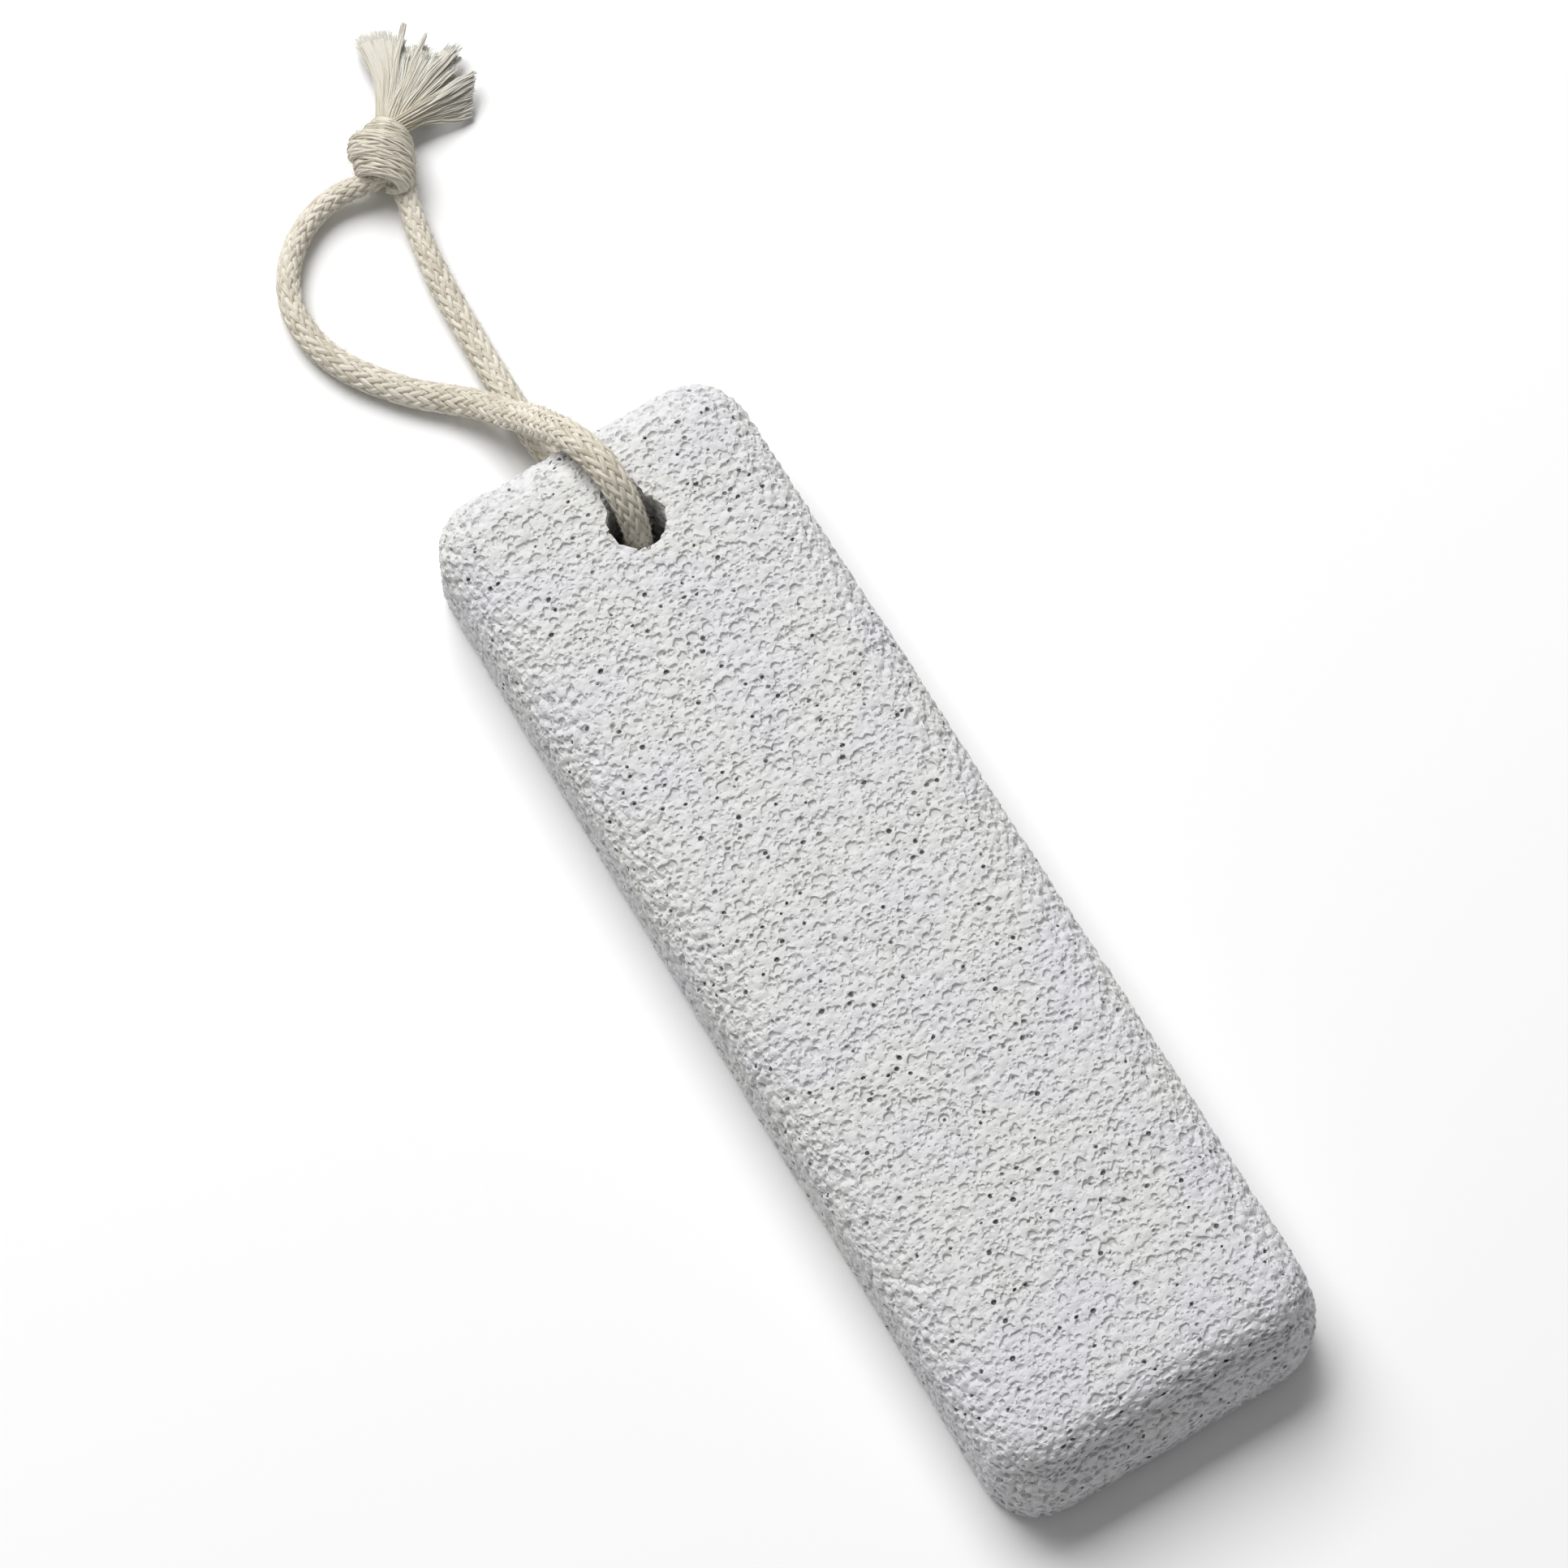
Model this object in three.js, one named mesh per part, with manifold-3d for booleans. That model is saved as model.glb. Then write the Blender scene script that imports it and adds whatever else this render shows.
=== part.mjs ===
// A pumice stone for the bath, on a loop of braided cotton cord.
// Millimetres. +Z is up. The stone lies on its flat back with its cord to the -X side.
// The origin is under the middle of the stone, on the surface that it lies on.
import * as THREE from "three";
import { mergeVertices } from "three/addons/utils/BufferGeometryUtils.js";
import Module from "manifold-3d";

// ---------- Driving dimensions ----------

// The stone: a bar that is a little wider at its foot (+X) than at its cord end (-X).
const STONE_LENGTH = 150;
const CORD_END_WIDTH = 45.5;
const FOOT_WIDTH = 47.3;
const STONE_THICKNESS = 20;
const CORNER_RADIUS = 8.2; // in plan, at all four corners
const FOOT_FLAT_ANGLE = THREE.MathUtils.degToRad(7); // where the ground foot cuts its corner arcs short
const CORD_END_FLAT_ANGLE = THREE.MathUtils.degToRad(4);
const TOP_ROUND_OVER = 7.5; // worn round, all round the upper face
const BACK_ROUND_OVER = 1.8; // the back keeps a crisp edge
const ROUND_OVER_STEPS = 10;
const CORNER_STEPS = 8;

// The hole for the cord, straight through the stone.
const HOLE_RADIUS = 3.35;
const HOLE_X = -59.3;
const HOLE_Y = 1.6;
const HOLE_SIDES = 28;

// The cord, one length of soft braid.
const CORD_RADIUS = 2;
const CORD_SIDES = 10;
const CORD_STEPS = 78;
const CORD_GAP = 0.3; // kept free between the cord and what it touches

// The relief that the cord has worn in the back, from the hole to the cord end.
const RELIEF_RADIUS = 2.5;
const RELIEF_AXIS_Z = 2.2; // the height of the cord's own middle as it lies on the surface
const RELIEF_TURN = THREE.MathUtils.degToRad(6.2);

// The knot, a barrel on its side, with its axis turned away from the stone.
const KNOT_LENGTH = 10.4;
const KNOT_RADIUS = 4.6;
const KNOT_END_RADIUS = 2.9;
const KNOT_CENTRE = new THREE.Vector3(-125.9, 1.7, 4.75);
const KNOT_TURN = THREE.MathUtils.degToRad(144.5); // from +X, in plan
const KNOT_SIDES = 24;

// The frayed ends, a fan of loose yarn that spreads from the knot.
const FAN_NECK_WIDTH = 4.4;
const FAN_RADIUS = 15;
const FAN_FIRST_ANGLE = THREE.MathUtils.degToRad(80); // from +X, in plan
const FAN_LAST_ANGLE = THREE.MathUtils.degToRad(170);
const FAN_THICKNESS = 5.4;
const FAN_EDGE = 1.6;
const FAN_MIDDLE_Z = 3.6;

// The cord's route, from the knot under the stone, up the hole, over the end and round its loop.
const CORD_ROUTE = [
  // the strand behind: out of the knot and straight to the stone
  [-121.6, 1.9, 3.2],
  [-119.0, 1.3, 2.5],
  [-115.5, 0.5, 2.2],
  [-108.8, -0.5, 2.2],
  [-101.5, -0.9, 2.2],
  [-94.3, -1.1, 2.2],
  [-87.5, -1.1, 2.2],
  [-81.0, -0.8, 2.2],
  [-74.6, -0.1, 2.2],
  [-71.4, 0.3, 2.2],
  // up through the hole
  [-68.2, 0.7, 2.25],
  [-64.9, 1.1, 3.0],
  [-62.0, 1.4, 4.9],
  [-60.0, 1.5, 7.8],
  [-59.3, 1.6, 11.2],
  [-59.3, 1.6, 13.4],
  [-60.0, 1.6, 16.8],
  [-62.0, 1.6, 19.7],
  [-64.9, 1.4, 21.65],
  // the strand in front: over the rounded end and down
  [-68.0, 1.0, 22.3],
  [-71.2, 0.3, 21.75],
  [-74.1, -0.4, 20.0],
  [-77.5, -1.1, 16.1],
  [-81.5, -1.9, 11.1],
  [-85.4, -3.5, 6.8],
  [-88.7, -5.0, 4.3],
  [-92.1, -7.8, 2.7],
  // its loop on the surface, back to the knot
  [-95.2, -11.1, 2.2],
  [-98.6, -14.1, 2.2],
  [-102.4, -16.8, 2.2],
  [-106.0, -18.5, 2.2],
  [-110.0, -19.4, 2.2],
  [-113.8, -19.2, 2.2],
  [-117.4, -18.0, 2.2],
  [-120.7, -15.6, 2.2],
  [-123.2, -12.4, 2.2],
  [-124.6, -9.0, 2.3],
  [-124.9, -5.8, 2.8],
  [-124.4, -3.0, 3.4],
];
const ROUTE_START_IN_KNOT = [-123.4, 2.4, 3.9];
const ROUTE_END_IN_KNOT = [-123.9, -0.8, 3.9];

// ---------- Materials ----------

const pumiceGrey = new THREE.MeshStandardMaterial({ color: 0xcfcfcd, roughness: 0.95, metalness: 0 });
const rawCotton = new THREE.MeshStandardMaterial({ color: 0xd2cdbf, roughness: 0.9, metalness: 0 });
const tightCotton = new THREE.MeshStandardMaterial({ color: 0xc6c0b1, roughness: 0.9, metalness: 0 });
const looseCotton = new THREE.MeshStandardMaterial({ color: 0xd8d4ca, roughness: 0.9, metalness: 0 });

// ---------- Joining and cutting ----------

const wasm = await Module();
wasm.setup();

function toSolid(geometry) {
  const bare = geometry.clone();
  bare.deleteAttribute("normal");
  bare.deleteAttribute("uv");
  const merged = mergeVertices(bare, 1e-4);
  return new wasm.Manifold(
    new wasm.Mesh({
      numProp: 3,
      vertProperties: merged.attributes.position.array,
      triVerts: new Uint32Array(merged.index.array),
    }),
  );
}

function toGeometry(solid) {
  const mesh = solid.getMesh();
  const geometry = new THREE.BufferGeometry();
  geometry.setAttribute("position", new THREE.BufferAttribute(new Float32Array(mesh.vertProperties), 3));
  geometry.setIndex(new THREE.BufferAttribute(new Uint32Array(mesh.triVerts), 1));
  geometry.computeVertexNormals();
  return geometry;
}

function named(name, geometry, material) {
  const mesh = new THREE.Mesh(geometry, material);
  mesh.name = name;
  return mesh;
}

// ---------- Cord ----------

function routeCurve(points) {
  return new THREE.CatmullRomCurve3(
    points.map((point) => new THREE.Vector3(...point)),
    false,
    "centripetal",
  );
}

function tubeAlong(points, radius) {
  const section = new THREE.Shape().absarc(0, 0, radius, 0, 2 * Math.PI);
  return new THREE.ExtrudeGeometry(section, {
    steps: CORD_STEPS,
    curveSegments: CORD_SIDES / 2,
    extrudePath: routeCurve(points),
  });
}

// The room that the cord takes in the stone and in the knot.
function cordRoom() {
  const points = [ROUTE_START_IN_KNOT, ...CORD_ROUTE, ROUTE_END_IN_KNOT];
  return toSolid(tubeAlong(points, CORD_RADIUS + CORD_GAP));
}

// ---------- Stone ----------

function barOutline() {
  const outline = new THREE.Shape();
  const corner = (endX, halfWidth, flatAngle, quarter) => {
    const alongX = Math.sign(endX);
    const centreX = endX - alongX * CORNER_RADIUS * Math.cos(flatAngle);
    const centreY = (quarter < 2 ? 1 : -1) * (halfWidth - CORNER_RADIUS);
    const first = (quarter * Math.PI) / 2 + (quarter % 2 ? 0 : flatAngle);
    const last = ((quarter + 1) * Math.PI) / 2 - (quarter % 2 ? flatAngle : 0);
    outline.absarc(centreX, centreY, CORNER_RADIUS, first, last);
  };
  corner(STONE_LENGTH / 2, FOOT_WIDTH / 2, FOOT_FLAT_ANGLE, 0);
  corner(-STONE_LENGTH / 2, CORD_END_WIDTH / 2, CORD_END_FLAT_ANGLE, 1);
  corner(-STONE_LENGTH / 2, CORD_END_WIDTH / 2, CORD_END_FLAT_ANGLE, 2);
  corner(STONE_LENGTH / 2, FOOT_WIDTH / 2, FOOT_FLAT_ANGLE, 3);
  outline.closePath();
  return outline;
}

// A bar that is rounded over at both faces, with one of them at faceZ and the other far off.
function roundedBar(roundOver, steps, faceZ, faceIsTop) {
  const depth = 3 * STONE_THICKNESS;
  const bar = new THREE.ExtrudeGeometry(barOutline(), {
    depth,
    curveSegments: CORNER_STEPS / 2,
    bevelSize: roundOver,
    bevelThickness: roundOver,
    bevelOffset: -roundOver,
    bevelSegments: steps,
  });
  bar.translate(0, 0, faceIsTop ? faceZ - depth - roundOver : faceZ + roundOver);
  return toSolid(bar);
}

function cordHole() {
  const hole = new THREE.CylinderGeometry(HOLE_RADIUS, HOLE_RADIUS, 2 * STONE_THICKNESS, HOLE_SIDES);
  hole.rotateX(Math.PI / 2);
  hole.translate(HOLE_X, HOLE_Y, STONE_THICKNESS / 2);
  return toSolid(hole);
}

// An arch in the back of the stone, open downwards, from the hole out past the cord end.
function backRelief() {
  const arch = new THREE.Shape();
  arch.moveTo(-RELIEF_RADIUS, -STONE_THICKNESS);
  arch.lineTo(RELIEF_RADIUS, -STONE_THICKNESS);
  arch.absarc(0, 0, RELIEF_RADIUS, 0, Math.PI);
  arch.closePath();
  const length = STONE_LENGTH / 2 + HOLE_X + CORNER_RADIUS;
  const relief = new THREE.ExtrudeGeometry(arch, {
    depth: length,
    curveSegments: CORD_SIDES / 2,
    bevelEnabled: false,
  });
  relief.rotateX(Math.PI / 2);
  relief.rotateZ(-Math.PI / 2 + RELIEF_TURN);
  relief.translate(HOLE_X, HOLE_Y, RELIEF_AXIS_Z);
  return toSolid(relief);
}

function pumiceStone(room) {
  const upper = roundedBar(TOP_ROUND_OVER, ROUND_OVER_STEPS, STONE_THICKNESS, true);
  const lower = roundedBar(BACK_ROUND_OVER, ROUND_OVER_STEPS / 2, 0, false);
  const bar = upper.intersect(lower);
  const stone = bar.subtract(cordHole()).subtract(backRelief()).subtract(room);
  return named("pumice_stone", toGeometry(stone), pumiceGrey);
}

// ---------- Knot and frayed ends ----------

function knot(room) {
  const half = KNOT_LENGTH / 2;
  const profile = new THREE.Path();
  profile.moveTo(0, -half);
  profile.lineTo(KNOT_END_RADIUS, -half);
  profile.bezierCurveTo(KNOT_RADIUS * 1.12, -half * 0.7, KNOT_RADIUS * 1.12, half * 0.4, KNOT_END_RADIUS, half);
  profile.lineTo(0, half);
  const barrel = new THREE.LatheGeometry(profile.getPoints(KNOT_SIDES / 2), KNOT_SIDES);
  barrel.rotateZ(-Math.PI / 2);
  barrel.rotateZ(KNOT_TURN);
  barrel.translate(...KNOT_CENTRE);
  return named("knot", toGeometry(toSolid(barrel).subtract(room)), tightCotton);
}

function frayedEnds() {
  const along = new THREE.Vector2(Math.cos(KNOT_TURN), Math.sin(KNOT_TURN));
  const across = new THREE.Vector2(-along.y, along.x);
  const reach = KNOT_LENGTH / 2 + CORD_GAP + FAN_EDGE;
  const neck = new THREE.Vector2(KNOT_CENTRE.x, KNOT_CENTRE.y).addScaledVector(along, reach);
  const neckHalf = FAN_NECK_WIDTH / 2 - FAN_EDGE;
  const fan = new THREE.Shape();
  fan.moveTo(neck.x + across.x * neckHalf, neck.y + across.y * neckHalf);
  fan.lineTo(neck.x - across.x * neckHalf, neck.y - across.y * neckHalf);
  fan.absarc(neck.x, neck.y, FAN_RADIUS - FAN_EDGE, FAN_FIRST_ANGLE, FAN_LAST_ANGLE);
  fan.closePath();
  const geometry = new THREE.ExtrudeGeometry(fan, {
    depth: FAN_THICKNESS - 2 * FAN_EDGE,
    curveSegments: 9,
    bevelSize: FAN_EDGE,
    bevelThickness: FAN_EDGE,
    bevelSegments: 3,
  });
  geometry.translate(0, 0, FAN_MIDDLE_Z - FAN_THICKNESS / 2 + FAN_EDGE);
  return named("frayed_ends", toGeometry(toSolid(geometry)), looseCotton);
}

// ---------- Assembly ----------

const room = cordRoom();
const group = new THREE.Group();
group.add(pumiceStone(room));
group.add(named("cord", toGeometry(toSolid(tubeAlong(CORD_ROUTE, CORD_RADIUS))), rawCotton));
group.add(knot(room));
group.add(frayedEnds());

export default group;
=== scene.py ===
# %% [markdown]
# # A pumice stone on a braided cotton cord
# A bar of pumice for the feet, with a hole near one end and a loop of soft cotton braid to hang it by.
# Both ends of the cord go into one knot, and past the knot they are combed out into loose yarn.
# The lesson builds the cord first, then the knot, the loose yarn and the stone, and last the light.
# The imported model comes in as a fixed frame, and everything made here keeps to its box, or to within a
# fraction of a millimetre of it.

# %% Load the frame
import math

import bpy
import numpy as np
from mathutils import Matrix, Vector


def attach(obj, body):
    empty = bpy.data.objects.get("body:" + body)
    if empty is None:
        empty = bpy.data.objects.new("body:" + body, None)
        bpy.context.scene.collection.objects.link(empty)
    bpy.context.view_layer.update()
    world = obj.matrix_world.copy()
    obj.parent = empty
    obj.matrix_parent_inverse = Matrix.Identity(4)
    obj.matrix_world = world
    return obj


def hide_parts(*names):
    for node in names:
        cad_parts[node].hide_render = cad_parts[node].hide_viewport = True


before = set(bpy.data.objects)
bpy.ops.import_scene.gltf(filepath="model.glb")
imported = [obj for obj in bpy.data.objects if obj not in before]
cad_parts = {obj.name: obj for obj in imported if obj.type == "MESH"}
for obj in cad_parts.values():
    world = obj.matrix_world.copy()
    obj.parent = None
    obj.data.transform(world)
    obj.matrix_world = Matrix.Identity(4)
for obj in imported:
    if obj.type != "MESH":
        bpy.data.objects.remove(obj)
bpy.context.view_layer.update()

MM = 0.001  # one millimetre, in the metres that the frame is in

# %% [markdown]
# ## Camera
# A long lens a good way off keeps the long edges of the bar almost parallel.
# It looks down steeply, so the top of the stone fills the frame and the foot end shows as a thin edge.
# The camera is placed by the direction that it looks from, which is easier to adjust than a position.

# %% Camera
AIM = Vector((-22.1, 1.2, 10.0)) * MM
LOOK_FROM = math.radians(-30.8)  # in plan, from +X
LOOK_DOWN = math.radians(71.4)
DISTANCE = 805.1 * MM
LENS = 145.66  # on a sensor 36 wide

camera = bpy.data.objects.new("camera", bpy.data.cameras.new("camera"))
bpy.context.scene.collection.objects.link(camera)
towards_camera = Vector((
    math.cos(LOOK_DOWN) * math.cos(LOOK_FROM),
    math.cos(LOOK_DOWN) * math.sin(LOOK_FROM),
    math.sin(LOOK_DOWN),
))
camera.location = AIM + DISTANCE * towards_camera
camera.rotation_euler = (-towards_camera).to_track_quat("-Z", "Y").to_euler()
camera.data.lens = LENS
camera.data.clip_start = 0.01
bpy.context.scene.camera = camera
print("camera at", [round(v / MM) for v in camera.location], "mm")

# %% [markdown]
# ## Writing node trees in a few words
# A node tree is a recipe: each node takes numbers or geometry in and hands something on.
# Written out in full, every node takes four or five lines. These helpers make it one line a node,
# and they serve both kinds of tree in this lesson, Geometry Nodes and material nodes,
# because the two share their maths, noise and cell nodes.

# %% Helpers for node trees
def node(tree, kind, inputs=None, **settings):
    made = tree.nodes.new(kind)
    for name, value in settings.items():
        setattr(made, name, value)
    for key, value in (inputs or {}).items():
        socket = made.inputs[key]
        if isinstance(value, bpy.types.NodeSocket):
            tree.links.new(value, socket)
        else:
            socket.default_value = value
    return made


def calc(tree, operation, a, b=0.0, c=0.0):
    return node(tree, "ShaderNodeMath", {0: a, 1: b, 2: c}, operation=operation).outputs[0]


def times(tree, a, b):
    return calc(tree, "MULTIPLY", a, b)


def vector_calc(tree, operation, a, b=(0.0, 0.0, 0.0)):
    made = node(tree, "ShaderNodeVectorMath", {0: a}, operation=operation)
    if operation == "SCALE":
        target = made.inputs["Scale"]
    else:
        target = made.inputs[1]
    if isinstance(b, bpy.types.NodeSocket):
        tree.links.new(b, target)
    else:
        target.default_value = b
    return made.outputs["Value" if operation in ("DOT_PRODUCT", "LENGTH", "DISTANCE") else "Vector"]


def scaled(tree, vector, size):
    return vector_calc(tree, "SCALE", vector, size)


# A value carried over from one range to another, and held at its ends.
def span(tree, value, start, end, low=0.0, high=1.0, curve="LINEAR"):
    return node(tree, "ShaderNodeMapRange", {"Value": value, "From Min": start, "From Max": end,
                "To Min": low, "To Max": high}, interpolation_type=curve).outputs[0]


def xyz(tree, x=0.0, y=0.0, z=0.0):
    return node(tree, "ShaderNodeCombineXYZ", {"X": x, "Y": y, "Z": z}).outputs[0]


def parts_of(tree, vector):
    return node(tree, "ShaderNodeSeparateXYZ", {0: vector}).outputs


def noise(tree, place, scale, detail):
    made = node(tree, "ShaderNodeTexNoise", {"Vector": place, "Scale": scale, "Detail": detail})
    return made.outputs["Fac"]


# A value that the geometry carries, as a number (Fac) or a vector.
def stored(tree, name, form="Fac"):
    return node(tree, "ShaderNodeAttribute", attribute_name=name).outputs[form]


# A noise between -1 and 1, one for each axis.
def wander(tree, place, scale, detail=1.0):
    colour = node(tree, "ShaderNodeTexNoise", {"Vector": place, "Scale": scale, "Detail": detail})
    centred = vector_calc(tree, "SUBTRACT", colour.outputs["Color"], (0.5, 0.5, 0.5))
    return vector_calc(tree, "SCALE", centred, 2.0)


# %% Helpers for Geometry Nodes
# A node of Geometry Nodes by its short name, as its first output.
def geo(tree, kind, inputs=None, **settings):
    return node(tree, "GeometryNode" + kind, inputs, **settings).outputs[0]


def new_tree(name, **inputs):
    tree = bpy.data.node_groups.new(name, "GeometryNodeTree")
    tree.interface.new_socket("Geometry", in_out="INPUT", socket_type="NodeSocketGeometry")
    tree.interface.new_socket("Geometry", in_out="OUTPUT", socket_type="NodeSocketGeometry")
    for label, value in inputs.items():
        kind = "NodeSocketInt" if isinstance(value, int) else "NodeSocketFloat"
        socket = tree.interface.new_socket(label, in_out="INPUT", socket_type=kind)
        socket.default_value = value
    return tree, tree.nodes.new("NodeGroupInput").outputs


def attribute(tree, name, data_type="FLOAT"):
    return geo(tree, "InputNamedAttribute", {"Name": name}, data_type=data_type)


def store(tree, geometry, name, value, data_type="FLOAT", domain="POINT"):
    made = node(tree, "GeometryNodeStoreNamedAttribute",
                {"Geometry": geometry, "Name": name, "Value": value},
                data_type=data_type, domain=domain)
    return made.outputs[0]


# The place on a curve at a share of its length, with the vector that it carries there.
def along_route(tree, path, where, name):
    carried = attribute(tree, name, "FLOAT_VECTOR")
    return node(tree, "GeometryNodeSampleCurve", {"Curves": path, "Factor": where, "Value": carried},
                mode="FACTOR", data_type="FLOAT_VECTOR")


# One random number for each curve, or for each value of another field.
def chance(tree, seed, low=-1.0, high=1.0, of=None):
    given_id = {} if of is None else {"ID": of}
    dice = node(tree, "FunctionNodeRandomValue",
                {"Min": low, "Max": high, "Seed": seed, **given_id}, data_type="FLOAT").outputs["Value"]
    return geo(tree, "FieldOnDomain", {0: dice}, domain="CURVE", data_type="FLOAT")


# The tree's last nodes: make instances real, give the finish, hand the mesh on.
def close_tree(tree, geometry, finish):
    real = geo(tree, "RealizeInstances", {"Geometry": geometry})
    done = geo(tree, "SetMaterial", {"Geometry": real, "Material": finish})
    tree.links.new(done, tree.nodes.new("NodeGroupOutput").inputs[0])


def triangles(faces):
    return sum(len(face.vertices) - 2 for face in faces)


# Runs a tree on a mesh and keeps the result as a plain mesh, with no modifier left on it.
def run_tree(name, start, tree, **inputs):
    grower = bpy.data.objects.new(name + "_start", start)
    bpy.context.scene.collection.objects.link(grower)
    modifier = grower.modifiers.new("nodes", "NODES")
    modifier.node_group = tree
    for item in tree.interface.items_tree:
        if item.in_out == "INPUT" and item.name in inputs:
            modifier[item.identifier] = inputs[item.name]
    bpy.context.view_layer.update()
    grown = grower.evaluated_get(bpy.context.evaluated_depsgraph_get())
    mesh = bpy.data.meshes.new_from_object(grown)
    bpy.data.objects.remove(grower)
    mesh.name = name
    piece = bpy.data.objects.new(name, mesh)
    bpy.context.scene.collection.objects.link(piece)
    print(name, len(mesh.vertices), "points,", triangles(mesh.polygons), "triangles")
    return piece


# %% [markdown]
# ## The route of the cord
# A cord is a fixed length of something limp, so its route comes before its surface.
# From the knot it runs straight along the table and under the end of the bar, bends up through the hole,
# comes out on top, folds down over the rounded end, and makes one round loop on the table back to the knot.
# Where it crosses over its own other strand it passes in a long low hump.
# Up to the knot the points are the same as in the solid model. A smooth curve through them gives the length.

# %% Route points
CORD_ROUTE = [
    # the strand behind: out of the knot and straight to the stone
    (-121.6, 1.9, 3.2), (-119.0, 1.3, 2.5), (-115.5, 0.5, 2.2), (-108.8, -0.5, 2.2),
    (-101.5, -0.9, 2.2), (-94.3, -1.1, 2.2), (-87.5, -1.1, 2.2), (-81.0, -0.8, 2.2),
    (-74.6, -0.1, 2.2), (-71.4, 0.3, 2.2),
    # up through the hole
    (-68.2, 0.7, 2.25), (-64.9, 1.1, 3.0), (-62.0, 1.4, 4.9), (-60.0, 1.5, 7.8),
    (-59.3, 1.6, 11.2), (-59.3, 1.6, 13.4), (-60.0, 1.6, 16.8), (-62.0, 1.6, 19.7),
    (-64.9, 1.4, 21.65),
    # the strand in front: over the rounded end and down
    (-68.0, 1.0, 22.3), (-71.2, 0.3, 21.75), (-74.1, -0.4, 20.0), (-77.5, -1.1, 16.1),
    (-81.5, -1.9, 11.1), (-85.4, -3.5, 6.8), (-88.7, -5.0, 4.3), (-92.1, -7.8, 2.7),
    # its loop on the table, back to the knot
    (-95.2, -11.1, 2.2), (-98.6, -14.1, 2.2), (-102.4, -16.8, 2.2), (-106.0, -18.5, 2.2),
    (-110.0, -19.4, 2.2), (-113.8, -19.2, 2.2), (-117.4, -18.0, 2.2), (-120.7, -15.6, 2.2),
    (-123.2, -12.4, 2.2), (-124.6, -9.0, 2.3), (-124.9, -5.8, 2.8), (-124.4, -3.0, 3.4),
]
INTO_KNOT_BEHIND = [(-125.0, 3.4, 4.6), (-123.4, 2.5, 4.0)]
INTO_KNOT_FRONT = [(-123.9, -0.9, 4.1), (-123.9, 1.0, 4.8)]


# A curve through points that neither overshoots nor pinches: Catmull-Rom, with steps by root of distance.
def smooth_curve(points, spacing):
    points = np.array(points, float)
    ends = [2 * points[0] - points[1], *points, 2 * points[-1] - points[-2]]
    fine = []
    for a, b, c, d in zip(ends, ends[1:], ends[2:], ends[3:]):
        t0 = 0.0
        t1 = t0 + math.sqrt(np.linalg.norm(b - a))
        t2 = t1 + math.sqrt(np.linalg.norm(c - b))
        t3 = t2 + math.sqrt(np.linalg.norm(d - c))
        for t in np.linspace(t1, t2, 40, endpoint=False):
            ab = (a * (t1 - t) + b * (t - t0)) / (t1 - t0)
            bc = (b * (t2 - t) + c * (t - t1)) / (t2 - t1)
            cd = (c * (t3 - t) + d * (t - t2)) / (t3 - t2)
            abc = (ab * (t2 - t) + bc * (t - t0)) / (t2 - t0)
            bcd = (bc * (t3 - t) + cd * (t - t1)) / (t3 - t1)
            fine.append((abc * (t2 - t) + bcd * (t - t1)) / (t2 - t1))
    fine = np.array([*fine, points[-1]])
    run = np.r_[0, np.cumsum(np.linalg.norm(np.diff(fine, axis=0), axis=1))]
    even = np.linspace(0, run[-1], int(run[-1] / spacing) + 1)
    return np.stack([np.interp(even, run, fine[:, k]) for k in range(3)], 1), run[-1]


route, route_length = smooth_curve(INTO_KNOT_BEHIND + CORD_ROUTE + INTO_KNOT_FRONT, 0.5)
free_length = smooth_curve(CORD_ROUTE, 0.5)[1]
print("cord", round(free_length, 1), "mm between the knot's two openings")

# %% [markdown]
# ## A frame that travels along the route
# To lay yarn around the route, each point of it needs a sideways and an upward direction.
# Carrying one direction along and only correcting it to stay square to the path keeps it from twisting.
# Each point also gets a half width and a half height: the braid is soft, fullest near the hole
# and drawn in towards the knot.

# %% Carry a frame along a path
def path_mesh(name, path, sideways, half_width, half_height, locked=False):
    tangent = np.gradient(path, axis=0)
    tangent /= np.linalg.norm(tangent, axis=1)[:, None]
    side = np.empty_like(path)
    current = np.array(sideways, float)
    for k, t in enumerate(tangent):
        if locked:
            current = np.array(sideways[k], float)
        current = current - t * (current @ t)
        current /= np.linalg.norm(current)
        side[k] = current
    up = np.cross(tangent, side)
    mesh = bpy.data.meshes.new(name)
    edges = [(k, k + 1) for k in range(len(path) - 1)]
    mesh.from_pydata((path * MM).tolist(), edges, [])
    wide = mesh.attributes.new("side", "FLOAT_VECTOR", "POINT")
    wide.data.foreach_set("vector", (side * half_width[:, None] * MM).ravel())
    tall = mesh.attributes.new("up", "FLOAT_VECTOR", "POINT")
    tall.data.foreach_set("vector", (up * half_height[:, None] * MM).ravel())
    return mesh


def between(path_share, *steps):
    shares, values = zip(*steps)
    return np.interp(path_share, shares, values)


share = np.linspace(0, 1, len(route))
half_width = between(share, (0, 1.15), (0.05, 1.15), (0.12, 1.42), (0.3, 1.5), (0.42, 1.4), (0.5, 1.65),
                     (0.62, 1.65), (0.7, 1.6), (0.78, 1.5), (0.86, 1.2), (0.95, 1.15), (1, 1.1))
half_height = between(share, (0, 1.3), (0.1, 1.5), (0.4, 1.6), (0.5, 1.6), (0.7, 1.6), (0.9, 1.4), (1, 1.2))
cord_path = path_mesh("cord_path", route, (0, 1, 0), half_width, half_height)
print("cord is", round(2 * half_width.min() + 1, 1), "to", round(2 * half_width.max() + 1, 1), "mm wide")

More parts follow.
